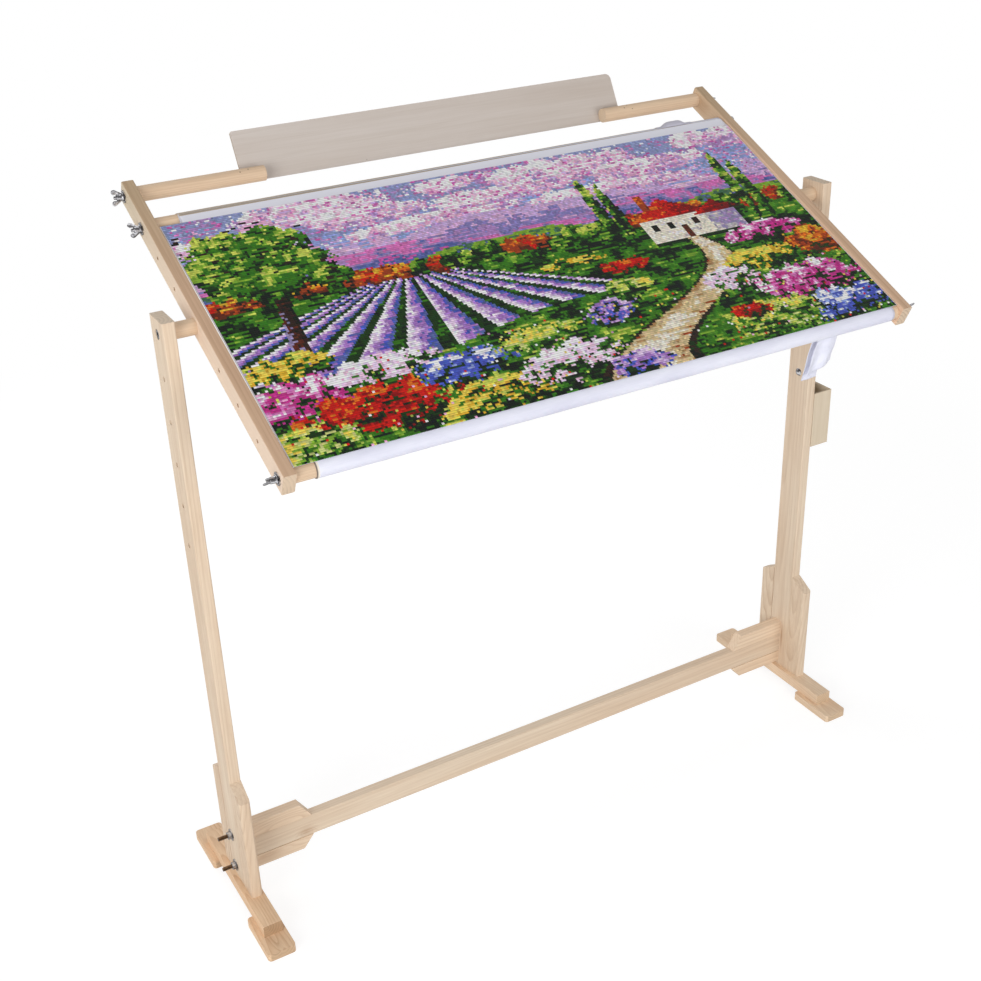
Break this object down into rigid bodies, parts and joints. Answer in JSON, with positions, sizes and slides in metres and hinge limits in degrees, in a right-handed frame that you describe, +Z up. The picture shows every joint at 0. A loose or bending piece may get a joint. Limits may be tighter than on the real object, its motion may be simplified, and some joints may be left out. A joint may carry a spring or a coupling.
{
  "type": "embroidery frame stand",
  "caption": "Wooden floor stand whose tilting scroll frame holds stretched cloth on two winding rods, with a chart board behind and a small box on one post.",
  "frame": {"origin": "on the floor, midway between the posts, under the mid plane of the stretcher", "axes": "+X to the worker's right, along the stretcher and the rods; +Y away from the worker; +Z up"},
  "size_m": [1.054, 0.5051, 1.0045],
  "materials": {
    "pine": "planed, unfinished pine",
    "pine_feet": "planed, unfinished pine, warmer in tone",
    "dowel": "sanded round wood",
    "plywood": "thin raw plywood",
    "zinc": "bright zinc plate",
    "dark_steel": "dull threaded steel",
    "cloth": "white even-weave cotton",
    "stitched_cloth": "counted stitches in coloured thread"
  },
  "bodies": {
    "stand": {"left_post": "pine", "right_post": "pine", "left_front_gusset": "pine", "left_rear_gusset": "pine", "right_front_gusset": "pine", "right_rear_gusset": "pine", "left_runner": "pine_feet", "right_runner": "pine_feet", "left_front_pad": "pine_feet", "left_rear_pad": "pine_feet", "right_front_pad": "pine_feet", "right_rear_pad": "pine_feet", "stretcher_bar": "pine", "left_upper_block": "pine_feet", "left_lower_block": "pine_feet", "right_upper_block": "pine_feet", "right_lower_block": "pine_feet", "stretcher_studs": "dark_steel", "stretcher_washers": "zinc", "stretcher_nuts": "zinc", "foot_screws": "zinc", "pivot_bolts": "zinc", "left_spacer": "dowel", "right_spacer": "dowel", "box_back": "plywood", "box_floor": "plywood", "box_outer_wall": "plywood", "box_front_wall": "plywood", "box_rear_wall": "plywood", "box_nails": "zinc", "box_bolt": "zinc", "box_nut": "zinc"},
    "frame": {"left_side_bar": "pine", "right_side_bar": "pine", "pivot_inserts": "zinc", "rod_washers": "zinc", "stretched_cloth": "stitched_cloth", "loose_end": "cloth"},
    "front_roller": {"front_rod": "dowel", "front_studs": "zinc", "front_cloth_roll": "cloth"},
    "back_roller": {"back_rod": "dowel", "back_studs": "zinc", "back_cloth_roll": "cloth"},
    "chart_holder": {"left_chart_rod": "dowel", "right_chart_rod": "dowel", "chart_studs": "zinc", "chart_board": "plywood", "chart_screws": "zinc"},
    "left_front_wing_nut": {"left_front_wing_nut": "zinc"},
    "right_front_wing_nut": {"right_front_wing_nut": "zinc"},
    "left_back_wing_nut": {"left_back_wing_nut": "zinc"},
    "right_back_wing_nut": {"right_back_wing_nut": "zinc"},
    "left_chart_wing_nut": {"left_chart_wing_nut": "zinc"},
    "right_chart_wing_nut": {"right_chart_wing_nut": "zinc"}
  },
  "joints": [
    {"name": "frame_tilt", "type": "hinge", "parent": "stand", "child": "frame", "pos_m": [0, -0.005, 0.851], "axis": [1, 0, 0], "continuous": true},
    {"name": "front_roller_turn", "type": "hinge", "parent": "frame", "child": "front_roller", "pos_m": [0, -0.22922, 0.7474], "axis": [1, 0, 0], "continuous": true},
    {"name": "back_roller_turn", "type": "hinge", "parent": "frame", "child": "back_roller", "pos_m": [0, 0.15931, 0.92692], "axis": [1, 0, 0], "continuous": true},
    {"name": "chart_board_swing", "type": "hinge", "parent": "frame", "child": "chart_holder", "pos_m": [0, 0.21786, 0.95398], "axis": [1, 0, 0], "range_deg": [-150, 120]},
    {"name": "left_front_wing_nut_turn", "type": "hinge", "parent": "front_roller", "child": "left_front_wing_nut", "pos_m": [0, -0.22922, 0.7474], "axis": [1, 0, 0], "continuous": true},
    {"name": "right_front_wing_nut_turn", "type": "hinge", "parent": "front_roller", "child": "right_front_wing_nut", "pos_m": [0, -0.22922, 0.7474], "axis": [1, 0, 0], "continuous": true},
    {"name": "left_back_wing_nut_turn", "type": "hinge", "parent": "back_roller", "child": "left_back_wing_nut", "pos_m": [0, 0.15931, 0.92692], "axis": [1, 0, 0], "continuous": true},
    {"name": "right_back_wing_nut_turn", "type": "hinge", "parent": "back_roller", "child": "right_back_wing_nut", "pos_m": [0, 0.15931, 0.92692], "axis": [1, 0, 0], "continuous": true},
    {"name": "left_chart_wing_nut_turn", "type": "hinge", "parent": "chart_holder", "child": "left_chart_wing_nut", "pos_m": [0, 0.21786, 0.95398], "axis": [1, 0, 0], "continuous": true},
    {"name": "right_chart_wing_nut_turn", "type": "hinge", "parent": "chart_holder", "child": "right_chart_wing_nut", "pos_m": [0, 0.21786, 0.95398], "axis": [1, 0, 0], "continuous": true}
  ],
  "couplings": [
    {"joint": "back_roller_turn", "follows": "front_roller_turn", "ratio": 1.0268}
  ]
}
